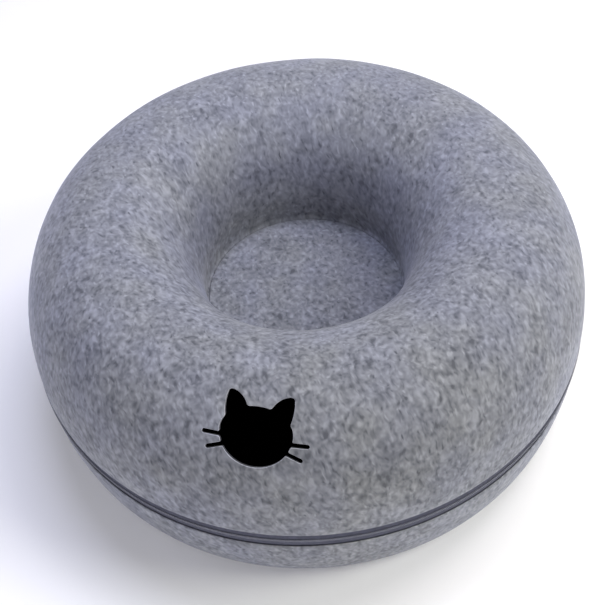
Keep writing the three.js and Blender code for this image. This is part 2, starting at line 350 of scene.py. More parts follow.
def fleck_shade(felt, in_mm):
    """0 for the darkest fibres, 1 for the palest."""
    bent = bent_place(felt, in_mm)
    patches = add_node(felt, "TexNoise", {"Vector": in_mm, "Scale": 1 / PATCH_SIZE, "Detail": 1.0})
    total = add_node(
        felt, "Math", {0: patches, 1: PATCH_SHARE, 2: (1 - PATCH_SHARE) / 2}, operation="MULTIPLY_ADD"
    )
    for family, direction in enumerate(FIBRE_FAMILIES):
        shift = tuple(family * step for step in FAMILY_SHIFT)
        fibres = lying_fibres(felt, bent, direction, FLECK_LENGTH, FLECK_WIDTH, shift)
        total = add_node(felt, "Math", {0: total, 1: fibres}, operation="ADD")
    mean = add_node(felt, "Math", {0: total, 1: len(FIBRE_FAMILIES) + 1}, operation="DIVIDE")
    from_middle = add_node(felt, "Math", {0: mean, 1: 0.5}, operation="SUBTRACT")
    depth = add_node(felt, "SeparateXYZ", {0: in_mm}).outputs[1]
    strongest = 0.5 / FLECK_SPREAD  # spreads the flecks over the whole of the greys
    contrast = add_node(
        felt, "MapRange", {0: depth, 1: EVEN_FROM, 2: EVEN_TO, 3: strongest, 4: EVEN_SHARE * strongest}
    )
    mixed = add_node(felt, "Math", {0: from_middle, 1: contrast, 2: 0.5}, operation="MULTIPLY_ADD")
    hairs = lying_fibres(felt, bent, HAIR_DIRECTION, HAIR_LENGTH, HAIR_WIDTH, detail=0.0)
    signed = add_node(felt, "MapRange", {0: hairs, 1: 0.0, 2: 1.0, 3: -HAIR_PEAK, 4: HAIR_PEAK})
    cubed = add_node(felt, "Math", {0: signed, 1: 3.0}, operation="POWER")
    return add_node(
        felt, "Math", {0: cubed, 1: HAIR_SHARE, 2: mixed}, operation="MULTIPLY_ADD", use_clamp=True
    )


# %% Felt: uneven mixing of cool and warm fibres, and a painted pool of warm light
COOL_TINT, WARM_TINT, WARM_LIGHT_TINT = "#fafbff", "#fefef9", "#fefdf6"
TINT_PATCH_SIZE = 42.0  # mm
COOL_BELOW, WARM_ABOVE = 0.35, 0.65  # where the slow noise has reached the one tint and the other
# painted light: a pool of warm light on the front right of the dome, its middle, and where it starts and
# ends fading
WARM_LIGHT_POOL, POOL_HEART, POOL_REACH = (70.0, -200.0, 150.0), 40.0, 190.0  # mm; its place, where it fades


def fibre_tint_and_warm_light(felt, in_mm):
    """The colour that multiplies the greys: cool and warm patches of fibre, and a painted pool of warm
    light.
    """
    mixing = add_node(felt, "TexNoise", {"Vector": in_mm, "Scale": 1 / TINT_PATCH_SIZE, "Detail": 3.0})
    tints = [(COOL_BELOW, linear(COOL_TINT)), (WARM_ABOVE, linear(WARM_TINT))]
    patches = add_node(felt, "ValToRGB", {0: mixing}, tints)
    distance = add_node(
        felt, "VectorMath", {0: in_mm, 1: WARM_LIGHT_POOL}, operation="DISTANCE"
    ).outputs["Value"]
    away = add_node(felt, "MapRange", {0: distance, 1: POOL_HEART, 2: POOL_REACH})
    # painted light: the colour turns warm towards the middle of the pool
    spot = add_node(felt, "ValToRGB", {0: away}, [(0, linear(WARM_LIGHT_TINT)), (1, linear("#ffffff"))])
    return add_node(felt, "VectorMath", {0: patches, 1: spot}, operation="MULTIPLY")


# %% Felt: painted shade in the well and painted light low on the sides
WELL_REACH = 150.0  # mm from the axis; only the felt nearer than this is on the well's wall
WALL_PAINTED_SHADE = [  # height in mm, and the share of the felt's colour that the painted shade keeps there
    (89, 0.92),
    (104, 0.85),
    (125, 0.77),
    (148, 0.77),
    (165, 0.9),
    (182, 1.0),
]
SHADE_BLUE_KEPT = 0.25  # the painted shade takes this much less from the blue, so the shade is bluish
# painted light low on the sides: full below the first height and gone above the second, in mm, and how much
# paler it makes the felt
PAINTED_LIGHT_BELOW, PAINTED_LIGHT_GONE_ABOVE, PAINTED_LIGHT_LIFT = 105.0, 140.0, 0.1  # heights in mm, and how much paler


def painted_light_and_shade(felt, in_mm):
    """Painted shade from the list of heights in the well, 1 on the dome, and a little more than 1 low on the
    outside, where it is painted light.
    """
    lowest, highest = WALL_PAINTED_SHADE[0][0], WALL_PAINTED_SHADE[-1][0]
    flat = add_node(felt, "VectorMath", {0: in_mm, 1: (1, 1, 0)}, operation="MULTIPLY")
    radius = add_node(felt, "VectorMath", {0: flat}, operation="LENGTH").outputs["Value"]
    outside = add_node(felt, "Math", {0: radius, 1: WELL_REACH}, operation="GREATER_THAN")
    height = add_node(felt, "SeparateXYZ", {0: in_mm}).outputs[2]
    climb = add_node(felt, "MapRange", {0: height, 1: lowest, 2: highest})
    place_up = add_node(felt, "Math", {0: climb, 1: outside}, operation="MAXIMUM")
    stops = []
    for z, share in WALL_PAINTED_SHADE:
        stops.append(((z - lowest) / (highest - lowest), (share, share, share + (1 - share) * SHADE_BLUE_KEPT, 1)))
    painted_shades = add_node(felt, "ValToRGB", {0: place_up}, stops)
    # painted light: the felt outside the well is paler low down
    lift = add_node(felt, "MapRange", {0: height, 1: PAINTED_LIGHT_BELOW, 2: PAINTED_LIGHT_GONE_ABOVE, 3: PAINTED_LIGHT_LIFT, 4: 0.0})
    side = add_node(felt, "Math", {0: lift, 1: outside, 2: 1.0}, operation="MULTIPLY_ADD")
    return add_node(felt, "VectorMath", {0: painted_shades, "Scale": side}, operation="SCALE")


# %% Heather felt
FUZZ_SIZE, FUZZ_SHARE = 1.7, 0.15  # mm, and its height next to that of the flecks


def heather_felt(name, dark, light, moulded=False):
    """The whole finish. moulded is True only for the shells' felt, which alone gets the painted shade in the
    well and the painted light low on the sides.
    """
    felt = new_finish(name)
    in_mm = in_millimetres(felt)
    shade = fleck_shade(felt, in_mm)
    greys = add_node(felt, "ValToRGB", {0: shade}, [(0, linear(dark)), (1, linear(light))])
    colour = add_node(felt, "VectorMath", {0: greys, 1: fibre_tint_and_warm_light(felt, in_mm)}, operation="MULTIPLY")
    if moulded:
        colour = add_node(
            felt, "VectorMath", {0: colour, 1: painted_light_and_shade(felt, in_mm)}, operation="MULTIPLY"
        )
    fuzz = add_node(felt, "TexNoise", {"Vector": in_mm, "Scale": 1 / FUZZ_SIZE, "Detail": 1.0})
    nap = add_node(felt, "Math", {0: fuzz, 1: FUZZ_SHARE, 2: shade}, operation="MULTIPLY_ADD")
    bump = add_node(felt, "Bump", {"Height": nap, "Strength": 0.25, "Distance": 0.5 * MM})
    shader = add_node(
        felt,
        "BsdfPrincipled",
        {
            "Base Color": colour,
            "Normal": bump,
            "Roughness": 0.95,
            "Specular IOR Level": 0.15,
            "Sheen Weight": 0.43,
            "Sheen Roughness": 0.5,
            "Sheen Tint": linear("#c8cad4"),
        },
    )
    return finish_with(felt, shader)


# the shells' felt, with the painted shade in the well and the painted light low on the sides
FELT = heather_felt("needle_punched_heather_felt", "#53555c", "#8f9199", moulded=True)
# the same felt as the shells, drawn a little darker: painted shade on the floor of the well
FLOOR_FELT = heather_felt("flat_heather_felt", "#51535a", "#8c8e96")
CUT_FELT = heather_felt("cut_felt_edge", "#7c7e87", "#b4b6c0")  # cut fibre ends catch more light
INNER_FELT = heather_felt("shaded_inner_felt", "#0b0b0c", "#18181a")  # the hollow swallows the light
print("felt finishes made:", len(FIBRE_FAMILIES), "families of fibres")

# %% [markdown]
# ## Top shell
#
# One sheet of felt makes the dome, the wall of the well and a lip turned in under the floor. Its line is
# drawn once, from the zip over the crest and down the well, and spun. Stiff felt can't turn sharply at
# the foot of the well, so the line ends there in a small cove, which catches light round the floor. The
# sheet then gets its thickness with Solidify. Along the zip the felt is pressed thin, so a vertex group
# tells Solidify where to keep only a third of the thickness. A Displace modifier gives the sheet the
# slight unevenness of moulding, and another group keeps that away from the zip and the lip.

# %% Top shell sheet
OUTER_RADIUS, CREST_RADIUS, WELL_RADIUS, BASE_RADIUS = 250.0, 169.0, 89.5, 229.5
HEIGHT, SEAM_HEIGHT, SEAM_GAP, FLOOR_TOP = 200.0, 77.0, 19.0, 89.0
FELT_THICKNESS, PRESSED_THICKNESS = 4.0, 1.2
PRESSED_HEIGHT, PRESSED_TAPER = 10.0, 6.0
CLEARANCE = 0.3
WIDEST_HEIGHT = SEAM_HEIGHT + SEAM_GAP / 2
DOME_FULLNESS, WELL_FULLNESS = 2.18, 2.15  # 2 would be an ellipse
FOOT_TOP, COVE, COVE_BELOW_FLOOR = 118.0, 5.0, 0.5
LIP_TOP = FLOOR_TOP - FELT_THICKNESS - CLEARANCE
LIP_RADIUS, LIP_BEND = 74.5, 1.0
AROUND, RING_SPACING, LIP_SPACING = 320, 3.5, 5.0

dome = rounded_quarter(
    (CREST_RADIUS, WIDEST_HEIGHT),
    (OUTER_RADIUS - CREST_RADIUS, HEIGHT - WIDEST_HEIGHT),
    DOME_FULLNESS,
    WIDEST_HEIGHT,
    HEIGHT,
)
well = rounded_quarter(
    (CREST_RADIUS, FLOOR_TOP),
    (WELL_RADIUS - CREST_RADIUS, HEIGHT - FLOOR_TOP),
    WELL_FULLNESS,
    HEIGHT,
    FOOT_TOP,
)
foot_radius = well[-1][0]
cove_angle = math.degrees(math.acos(1 - (foot_radius - WELL_RADIUS) / COVE))
cove_height = FLOOR_TOP - COVE_BELOW_FLOOR + COVE * math.sin(math.radians(cove_angle))
cove = corner((foot_radius - COVE, cove_height), COVE, 0, -cove_angle, steps=5)
print("foot of the wall at", round(foot_radius, 1), "mm, cove turns by", round(cove_angle), "degrees")

bend_under = corner((WELL_RADIUS - LIP_BEND, LIP_TOP + LIP_BEND), LIP_BEND, 0, -90)
top_line = evenly(dome + well[1:], RING_SPACING)
top_line += evenly([well[-1], cove[0]], RING_SPACING)[1:]
top_line += cove[1:] + bend_under
top_line += evenly([bend_under[-1], (LIP_RADIUS, LIP_TOP)], LIP_SPACING)[1:]

top_shell = draw_section("top_shell", top_line)
spin_round(AROUND)
print("top sheet:", len(top_line), "rings of", AROUND)


# %% Felt thickness and unevenness
SWELL_SIZE = 75.0  # mm from one slow swelling of a moulded sheet to the next
TOP_SWELL, BOTTOM_SWELL = 1.6, 1.2  # mm from hollow to hill
TOP_HOLD, BOTTOM_HOLD = 25.0, 20.0  # mm over which a held edge lets go of the sheet


def pressed_share(height):
    """0 where the felt is pressed thin along the zip, 1 where it is full."""
    from_edge = abs(height / MM - SEAM_HEIGHT) - SEAM_GAP / 2
    return min(max((from_edge - PRESSED_HEIGHT) / PRESSED_TAPER, 0), 1)


def weight_group(piece, name, weight_of):
    group = piece.vertex_groups.new(name=name)
    for vertex in piece.data.vertices:
        group.add([vertex.index], weight_of(vertex.co), "REPLACE")


def relax(piece, slack_of, depth):
    """Lets a moulded sheet swell and sag a little, only where the group allows it."""
    weight_group(piece, "slack", slack_of)
    unevenness = bpy.data.textures.new("slow unevenness", "CLOUDS")
    unevenness.noise_scale = SWELL_SIZE * MM
    unevenness.noise_depth = 1
    apply_modifier(
        piece,
        "DISPLACE",
        texture=unevenness,
        texture_coords="LOCAL",
        vertex_group="slack",
        strength=depth * MM,
    )


def thicken(piece):
    """Gives a felt sheet its thickness inwards, with a soft edge along the zip."""
    weight_group(piece, "full thickness", lambda co: pressed_share(co.z))
    for finish in (FELT, INNER_FELT, CUT_FELT):
        piece.data.materials.append(finish)
    apply_modifier(
        piece,
        "SOLIDIFY",
        thickness=FELT_THICKNESS * MM,
        offset=-1,
        use_even_offset=True,
        vertex_group="full thickness",
        thickness_vertex_group=PRESSED_THICKNESS / FELT_THICKNESS,
        # the inside faces take the near-black painted shade of the hollow, and the rims take the pale cut
        # felt
        material_offset=1,
        material_offset_rim=2,
    )
    soften_edges(piece, width=0.4, degrees=50)


def top_slack(co):
    """Free on the dome and the well's wall, held at the zip and at the lip."""
    above_zip = min(max((co.z / MM - WIDEST_HEIGHT) / TOP_HOLD, 0), 1)
    above_floor = min(max((co.z / MM - FLOOR_TOP) / TOP_HOLD, 0), 1)
    return above_zip * above_floor


relax(top_shell, top_slack, TOP_SWELL)
thicken(top_shell)
print("felt is", FELT_THICKNESS, "mm thick and", PRESSED_THICKNESS, "mm along the zip")

# %% [markdown]
# ## Cat-head peephole
#
# The hole is punched through the moulded dome, square to its surface. The cutter is drawn flat: a face
# that is flatter above than below, two leaf-shaped ears and four whiskers with round ends. Each is an
# outline that is filled and extruded, and a Boolean joins them. A punch leaves a small round-over
# where the felt is pinched, so the cutter gets a skirt that widens just at the felt's surface. To make
# it follow the curve of the dome, each point of the skirt is dropped on the felt with a ray.

# %% Peephole outlines
FACE_HALF_WIDTH, FACE_ABOVE, FACE_BELOW, FACE_POINTS = 27.8, 19.3, 26.8, 120
EAR = {
    "inside": (12.0, 4.0),  # well within the face, so that the two outlines join
    "root": (8.5, 17.3),
    "inner_pull": (4.0, -2.0),  # across from the root, and down from the top
    "tip": (22.6, 26.2),
    "tip_radius": 2.6,
    "tip_lead": 1.0,  # how far before the tip its rounding starts
    "bulge": 26.8,
    "outer": (24.5, 9.0),
}
WHISKER_WIDTH, WHISKER_END_STEPS = 3.4, 8
WHISKERS = [((22.0, -5.2), (39.0, -4.8)), ((20.0, -10.8), (35.2, -16.2))]  # root and tip of each


def bezier(start, pull, end, steps=14):
    """Points on a quadratic curve, without its first one."""
    points = []
    for i in range(1, steps + 1):
        t = i / steps
        points.append(tuple(
            (1 - t) ** 2 * a + 2 * t * (1 - t) * b + t * t * c for a, b, c in zip(start, pull, end)
        ))
    return points


def face_outline():
    points = []
    for i in range(FACE_POINTS):
        angle = math.tau * i / FACE_POINTS
        tall = FACE_ABOVE if i <= FACE_POINTS / 2 else FACE_BELOW
        points.append((FACE_HALF_WIDTH * math.cos(angle), tall * math.sin(angle)))
    return points


def ear_outline(side):
    root_x, outer_y = EAR["root"][0], EAR["outer"][1]
    tip_x, tip_y = EAR["tip"]
    top = tip_y + EAR["tip_radius"]
    far = tip_x + EAR["tip_radius"]
    lead = (tip_x - EAR["tip_lead"], top)
    pull_x, pull_y = EAR["inner_pull"]
    points = [EAR["inside"], EAR["root"]]
    points += bezier(EAR["root"], (root_x + pull_x, top + pull_y), lead)
    points += bezier(lead, (far, top), (far, tip_y), steps=6)
    points += bezier((far, tip_y), (EAR["bulge"], (tip_y + outer_y) / 2), EAR["outer"])
    return [(side * x, y) for x, y in points]


def whisker_outline(root, tip, side):
    start, end = Vector((side * root[0], root[1])), Vector((side * tip[0], tip[1]))
    heading = math.atan2(end.y - start.y, end.x - start.x)
    points = []
    for centre, first in ((end, heading - math.pi / 2), (start, heading + math.pi / 2)):
        for i in range(WHISKER_END_STEPS + 1):
            angle = first + math.pi * i / WHISKER_END_STEPS
            points.append(tuple(centre + Vector((math.cos(angle), math.sin(angle))) * WHISKER_WIDTH / 2))
    return points


def punch(name, outline, depth):
    """A flat outline, filled and extruded upwards into a prism. All sizes are in mm."""
    piece = draw_line(name, [(x * MM, y * MM, 0) for x, y in outline])
    bpy.ops.mesh.select_all(action="SELECT")
    bpy.ops.mesh.edge_face_add()
    bpy.ops.mesh.extrude_region_move(TRANSFORM_OT_translate={"value": (0, 0, depth * MM)})
    turn_outwards()
    return piece


FLAT_DEPTH = 10.0
cutter = punch("peephole_cutter", face_outline(), FLAT_DEPTH)
additions = [punch("ear", ear_outline(side), FLAT_DEPTH) for side in (-1, 1)]
additions += [punch("whisker", whisker_outline(*w, side), FLAT_DEPTH) for w in WHISKERS for side in (-1, 1)]
for addition in additions:
    apply_modifier(cutter, "BOOLEAN", operation="UNION", solver="EXACT", object=addition)
    bpy.data.objects.remove(addition)
print("cutter outline joined:", len(cutter.data.vertices), "vertices")

# %% [markdown]
# The joined prism gives a clean outline. Only that outline is kept: every face that reaches below the
# top is deleted, the rest is dissolved into one, and its edge loop is extruded into a wall of four rings.
# Fattening the two upper rings makes the skirt. The wall of the cut takes the near-black painted shade of
# the inside, the shade of the hollow behind it, and only the thin round-over stays pale.

# %% Peephole cutter
PEEPHOLE_HEIGHT, PEEPHOLE_TILT = 181.4, math.radians(-3.5)
ROUND_OVER, ROUND_DEPTH, SKIRT_LIFT = 0.45, 0.7, 0.15
CORNER_ROUND = 1.1  # mm that each inner and outer corner of the punch is rounded off
CORNER_TURN = math.radians(24)  # a corner turns by more than this, a curve's point by less
FLAT_ENOUGH = math.radians(0.5)  # points that turn by less than this aren't needed
NEAR_POINTS, NEAREST_POINTS = 0.6, 0.2  # mm; nearer ones become one, before and after the rounding
SAME_HEIGHT = 0.1  # mm; heights that differ by less than this are the same
CUT_EDGE_DEPTH = -10.5  # mm; the middles of the wall's faces lie lower than this, those of the skirt higher


def dome_place(height):
    """The matrix that lays a flat drawing on the front of the dome, square to the surface."""
    across, rise = OUTER_RADIUS - CREST_RADIUS, HEIGHT - WIDEST_HEIGHT
    share_up = (height - WIDEST_HEIGHT) / rise
    share_out = (1 - share_up ** DOME_FULLNESS) ** (1 / DOME_FULLNESS)
    steepness = DOME_FULLNESS - 1
    lean = math.atan2(share_out ** steepness / across, share_up ** steepness / rise)
    spot = Vector((0, -(CREST_RADIUS + across * share_out), height)) * MM
    return Matrix.Translation(spot) @ Matrix.Rotation(lean, 4, "X") @ Matrix.Rotation(PEEPHOLE_TILT, 4, "Z")


def edit_where(piece, kind, wanted):
    """Opens edit mode in vertex, edge or face mode, with only the items that pass a test selected."""
    pick(piece)
    parts = {"VERT": piece.data.vertices, "EDGE": piece.data.edges, "FACE": piece.data.polygons}
    bpy.context.tool_settings.mesh_select_mode = [kind == name for name in parts]
    for name, items in parts.items():
        for item in items:
            item.select = name == kind and bool(wanted(item))
    bpy.ops.object.mode_set(mode="EDIT")


def reaches_below_top(face):
    lowest = min(cutter.data.vertices[i].co.z for i in face.vertices)
    return lowest < (FLAT_DEPTH - SAME_HEIGHT) * MM


edit_where(cutter, "FACE", reaches_below_top)
bpy.ops.mesh.delete(type="FACE")
bpy.ops.mesh.select_mode(type="FACE")
bpy.ops.mesh.select_all(action="SELECT")
bpy.ops.mesh.dissolve_faces()
bpy.ops.mesh.select_mode(type="VERT")
bpy.ops.mesh.select_all(action="SELECT")
bpy.ops.mesh.dissolve_limited(angle_limit=FLAT_ENOUGH)
bpy.ops.mesh.remove_doubles(threshold=NEAR_POINTS * MM)
bpy.ops.object.mode_set(mode="OBJECT")


def turn_at(vertex):
    """How sharply the outline turns at a vertex, in radians."""
    arms = []
    for edge in cutter.data.edges:
        if vertex.index in edge.vertices:
            other = next(i for i in edge.vertices if i != vertex.index)
            arms.append(cutter.data.vertices[other].co - vertex.co)
    return math.pi - arms[0].angle(arms[1])


edit_where(cutter, "VERT", lambda vertex: turn_at(vertex) > CORNER_TURN)
bpy.ops.mesh.bevel(offset=CORNER_ROUND * MM, segments=4, affect="VERTICES")
bpy.ops.mesh.select_all(action="SELECT")
bpy.ops.mesh.delete(type="ONLY_FACE")
bpy.ops.mesh.select_all(action="SELECT")
bpy.ops.mesh.remove_doubles(threshold=NEAREST_POINTS * MM)
bpy.ops.object.mode_set(mode="OBJECT")
print("outline:", len(cutter.data.vertices), "points", len(cutter.data.edges), "edges")

# %% Raise the wall of the cutter
LONG_EDGE, LONG_EDGE_CUTS = 2.0 * MM, 9
RINGS = {"top": 14.0, "skirt": 1.0, "hole": -1.0, "bottom": -25.0}  # heights in mm
RAY_START = 30.0  # mm above the flat drawing, clear of the felt


def edge_length(edge):
    ends = [cutter.data.vertices[i].co for i in edge.vertices]
    return (ends[0] - ends[1]).length


edit_where(cutter, "EDGE", lambda edge: edge_length(edge) > LONG_EDGE)
bpy.ops.mesh.subdivide(number_cuts=LONG_EDGE_CUTS)
bpy.ops.mesh.select_mode(type="VERT")
bpy.ops.mesh.select_all(action="SELECT")
heights = list(RINGS.values())
bpy.ops.transform.translate(value=(0, 0, (heights[0] - FLAT_DEPTH) * MM))
for above, below in zip(heights, heights[1:]):
    bpy.ops.mesh.extrude_region_move(TRANSFORM_OT_translate={"value": (0, 0, (below - above) * MM)})
turn_outwards()
edit_where(cutter, "VERT", lambda vertex: vertex.co.z > 0)
bpy.ops.transform.shrink_fatten(value=ROUND_OVER * MM, use_even_offset=False)
bpy.ops.object.mode_set(mode="OBJECT")
print("each ring of the cutter has", len(cutter.data.vertices) // len(RINGS), "points")

# %% Drop the skirt on the felt and close the cutter
place = dome_place(PEEPHOLE_HEIGHT)
square_to_dome = place.to_3x3() @ Vector((0, 0, 1))
for vertex in cutter.data.vertices:
    ring = min(RINGS, key=lambda name: abs(RINGS[name] * MM - vertex.co.z))
    if ring in ("skirt", "hole"):
        above = place @ Vector((vertex.co.x, vertex.co.y, RAY_START * MM))
        _, spot, _, _ = top_shell.ray_cast(above, -square_to_dome)
        lift = SKIRT_LIFT if ring == "skirt" else -ROUND_DEPTH
        vertex.co.z = (place.inverted() @ spot).z + lift * MM

for ring in ("top", "bottom"):
    edit_where(cutter, "VERT", lambda vertex: abs(vertex.co.z - RINGS[ring] * MM) < SAME_HEIGHT * MM)
    bpy.ops.mesh.edge_face_add()
    bpy.ops.object.mode_set(mode="OBJECT")
bpy.ops.object.mode_set(mode="EDIT")
turn_outwards()
for finish in (FELT, INNER_FELT, CUT_FELT):
    cutter.data.materials.append(finish)
for face in cutter.data.polygons:
    # the wall of the cut gets the near-black painted shade of the hollow, and the skirt gets the pale cut
    # felt
    face.material_index = 2 if face.center.z > CUT_EDGE_DEPTH * MM else 1
cutter.matrix_world = place
bpy.ops.object.transform_apply()

apply_modifier(top_shell, "BOOLEAN", operation="DIFFERENCE", solver="EXACT", object=cutter)
bpy.data.objects.remove(cutter)
smooth(top_shell, 35)

# %% [markdown]
# ## Bottom shell
#
# The bottom is a tray of the same felt: a wall that curves in under the zip and a flat base that the bed
# stands on. The base needs few rings, because it is flat, so the line is drawn with wider steps there.

# %% Bottom shell
WALL_FULLNESS, WALL_SPACING, BASE_SPACING = 2.2, 3.2, 16.0
wall = rounded_quarter(
    (BASE_RADIUS, WIDEST_HEIGHT),
    (OUTER_RADIUS - BASE_RADIUS, -WIDEST_HEIGHT),
    WALL_FULLNESS,
    SEAM_HEIGHT - SEAM_GAP / 2,
    0,
)
bottom_line = evenly(wall, WALL_SPACING) + evenly([(BASE_RADIUS, 0), (0, 0)], BASE_SPACING)[1:]
bottom_shell = draw_section("bottom_shell", bottom_line)
spin_round(AROUND)


def bottom_slack(co):
    """Free only on the wall, held at the zip and on the base."""
    below_zip = min(max((SEAM_HEIGHT - SEAM_GAP / 2 - co.z / MM) / BOTTOM_HOLD, 0), 1)
    above_base = min(max(co.z / MM / BOTTOM_HOLD, 0), 1)
    return below_zip * above_base


relax(bottom_shell, bottom_slack, BOTTOM_SWELL)
thicken(bottom_shell)
smooth(bottom_shell)

# %% [markdown]
# ## Round floor
#
# The floor of the well is a loose disc of the same felt, cut out and laid on the lip. Its section is a
# thin rectangle with rounded corners, because felt is never cut quite sharp.

# %% Round floor
floor_radius = WELL_RADIUS - CLEARANCE
floor_low = FLOOR_TOP - FELT_THICKNESS
EDGE_ROUND, FLOOR_SPACING, FLOOR_AROUND = 1.1, 6.0, 160
flat_radius = floor_radius - EDGE_ROUND
floor_line = evenly([(0, floor_low), (flat_radius, floor_low)], FLOOR_SPACING)
floor_line += corner((flat_radius, floor_low + EDGE_ROUND), EDGE_ROUND, -90, 0)[1:]
floor_line += corner((flat_radius, FLOOR_TOP - EDGE_ROUND), EDGE_ROUND, 0, 90)
floor_line += evenly([(flat_radius, FLOOR_TOP), (0, FLOOR_TOP)], FLOOR_SPACING)[1:]
round_floor = draw_section("round_floor", floor_line)
spin_round(FLOOR_AROUND)
round_floor.data.materials.append(FLOOR_FELT)
smooth(round_floor)

# %% [markdown]
# ## Zip tapes
#
# Each tape is a narrow woven ribbon sewn behind the felt. Its hem is hidden, and its face bows out to
# lie nearly flush with the bed's side. The coil runs a little nearer to the upper felt edge, so the lower
# tape shows more. Each tape is drawn as a line with a soft S, spun like the felt and thickened inwards.
#
# The weave is two sine waves, one for the slanting ribs and one for the rows across them. A whole number
# of ribs goes round the bed, so the pattern closes without a seam, and a noise makes it uneven.

# %% Woven tape finish
TAPE_WALES = 1572  # ribs round the bed, one each millimetre; real ones are half as wide and wouldn't show
TAPE_COURSE = 0.9  # mm
WEAVE_SHARE = 0.12  # how much the ribs darken and lighten the colour
WEAR_SCALE = 0.35  # for each mm, so worn spots are about 3 mm across


def woven_tape(name, dark, light):
    """A matt blue-grey ribbon. Its fine ribs slant, so it looks soft and a little uneven."""
    tape = new_finish(name)
    in_mm = in_millimetres(tape)
    axes = add_node(tape, "SeparateXYZ", {0: in_mm})
    turn = add_node(tape, "Math", {0: axes.outputs[1], 1: axes.outputs[0]}, operation="ARCTAN2")
    across = add_node(tape, "Math", {0: turn, 1: TAPE_WALES}, operation="MULTIPLY")
    climb = add_node(tape, "Math", {0: axes.outputs[2], 1: math.tau / TAPE_COURSE}, operation="MULTIPLY")
    slant = add_node(tape, "Math", {0: across, 1: climb}, operation="ADD")
    twill = add_node(tape, "Math", {0: slant}, operation="SINE")
    courses = add_node(tape, "Math", {0: climb}, operation="SINE")
    weave = add_node(tape, "Math", {0: twill, 1: courses}, operation="ADD")
    worn = add_node(tape, "TexNoise", {"Vector": in_mm, "Scale": WEAR_SCALE, "Detail": 3.0})
    mixed = add_node(tape, "Math", {0: weave, 1: WEAVE_SHARE, 2: worn}, operation="MULTIPLY_ADD")
    colours = add_node(tape, "ValToRGB", {0: mixed}, [(0.25, linear(dark)), (0.75, linear(light))])
    bump = add_node(tape, "Bump", {"Height": weave, "Strength": 0.4, "Distance": 0.15 * MM})
    shader = add_node(
        tape,
        "BsdfPrincipled",
        {
            "Base Color": colours,
            "Normal": bump,
            "Roughness": 0.8,
            "Sheen Weight": 0.15,
            "Sheen Tint": linear("#9a9cac"),
        },
    )
    return finish_with(tape, shader)


WOVEN_TAPE = woven_tape("woven_polyester_zip_tape", "#30313e", "#4a4c5d")
print("ribs of the tape are", round(math.tau * OUTER_RADIUS / TAPE_WALES, 2), "mm apart")

# %% Zip tapes
ZIP_HEIGHT = 78.8  # mm, the middle of the coil, a little nearer to the upper felt edge
TAPE_FACE, TAPE_HEM, TAPE_THICKNESS, TAPE_WIDTH = 249.3, 247.9, 1.0, 16.0
HALF_SPLIT = 0.15  # mm from the zip's middle to the edge of each tape
UPPER_BEND = [(TAPE_FACE, 5.8), (249.1, 6.6), (248.7, 7.2), (248.2, 7.7), (TAPE_HEM, 8.6)]
LOWER_BEND = [(TAPE_FACE, 4.6), (249.0, 6.2), (248.6, 8.0), (248.2, 9.8), (TAPE_HEM, 11.2)]


def zip_tape(name, side):
    """side is 1 for the tape on the top shell and -1 for the one on the bottom shell."""
    bend = UPPER_BEND if side > 0 else LOWER_BEND
    line = [(TAPE_FACE, HALF_SPLIT), *bend, (TAPE_HEM, TAPE_WIDTH)]  # radius, distance from the middle
    tape = draw_section(name, [(radius, ZIP_HEIGHT + side * reach) for radius, reach in line])
    spin_round(AROUND)
    tape.data.materials.append(WOVEN_TAPE)
    apply_modifier(tape, "SOLIDIFY", thickness=TAPE_THICKNESS * MM, offset=-1, use_even_offset=True)
    soften_edges(tape, width=0.2, degrees=60, segments=1)
    smooth(tape)
    return tape


upper_tape = zip_tape("zip_tape_on_top_shell", 1)
lower_tape = zip_tape("zip_tape_on_bottom_shell", -1)

# %% [markdown]
# ## Zip coils
#
# The teeth of this zip are a nylon thread wound into a flat coil, one coil on each tape. One turn is
# modelled: a small circle swept by the Screw modifier into a single loop and squeezed flat. An Array
# repeats it a thousand times in a straight line, and a Simple Deform bends the line into a ring, open
# only where the slider sits. The second coil is shifted by half a turn, so that the two interlock.

# %% Nylon finish
CLOUD_SIZE = 2.0  # mm; the dye takes a little unevenly


def nylon(name, dark, light):
    """Drawn nylon thread, smoother and paler than the tape, so each turn catches a small light."""
    thread = new_finish(name)
    in_mm = in_millimetres(thread)
    cloudy = add_node(thread, "TexNoise", {"Vector": in_mm, "Scale": 1 / CLOUD_SIZE, "Detail": 2.0})
    colours = add_node(thread, "ValToRGB", {0: cloudy}, [(0.3, linear(dark)), (0.7, linear(light))])
    shader = add_node(thread, "BsdfPrincipled", {"Base Color": colours, "Roughness": 0.38, "IOR": 1.53})
    return finish_with(thread, shader)


NYLON = nylon("nylon_monofilament_coil", "#6a6c77", "#82848f")
print("finish made:", NYLON.name)

# %% Zip coils
THREAD = 0.55  # mm across
COIL_RADIUS, COIL_DEPTH, COIL_WIDTH, COIL_PITCH = 250.1, 1.1, 1.9, 1.5
COIL_OVERLAP = 0.25  # mm that the heads of each coil reach past the middle
SLIDER_GAP = 10.6  # mm of the ring left open for the slider
TURN_STEPS, THREAD_SIDES = 9, 5
TURN_MERGE = 0.02  # mm

coil_length = math.tau * COIL_RADIUS - SLIDER_GAP
turns = round(coil_length / COIL_PITCH)
pitch = coil_length / turns


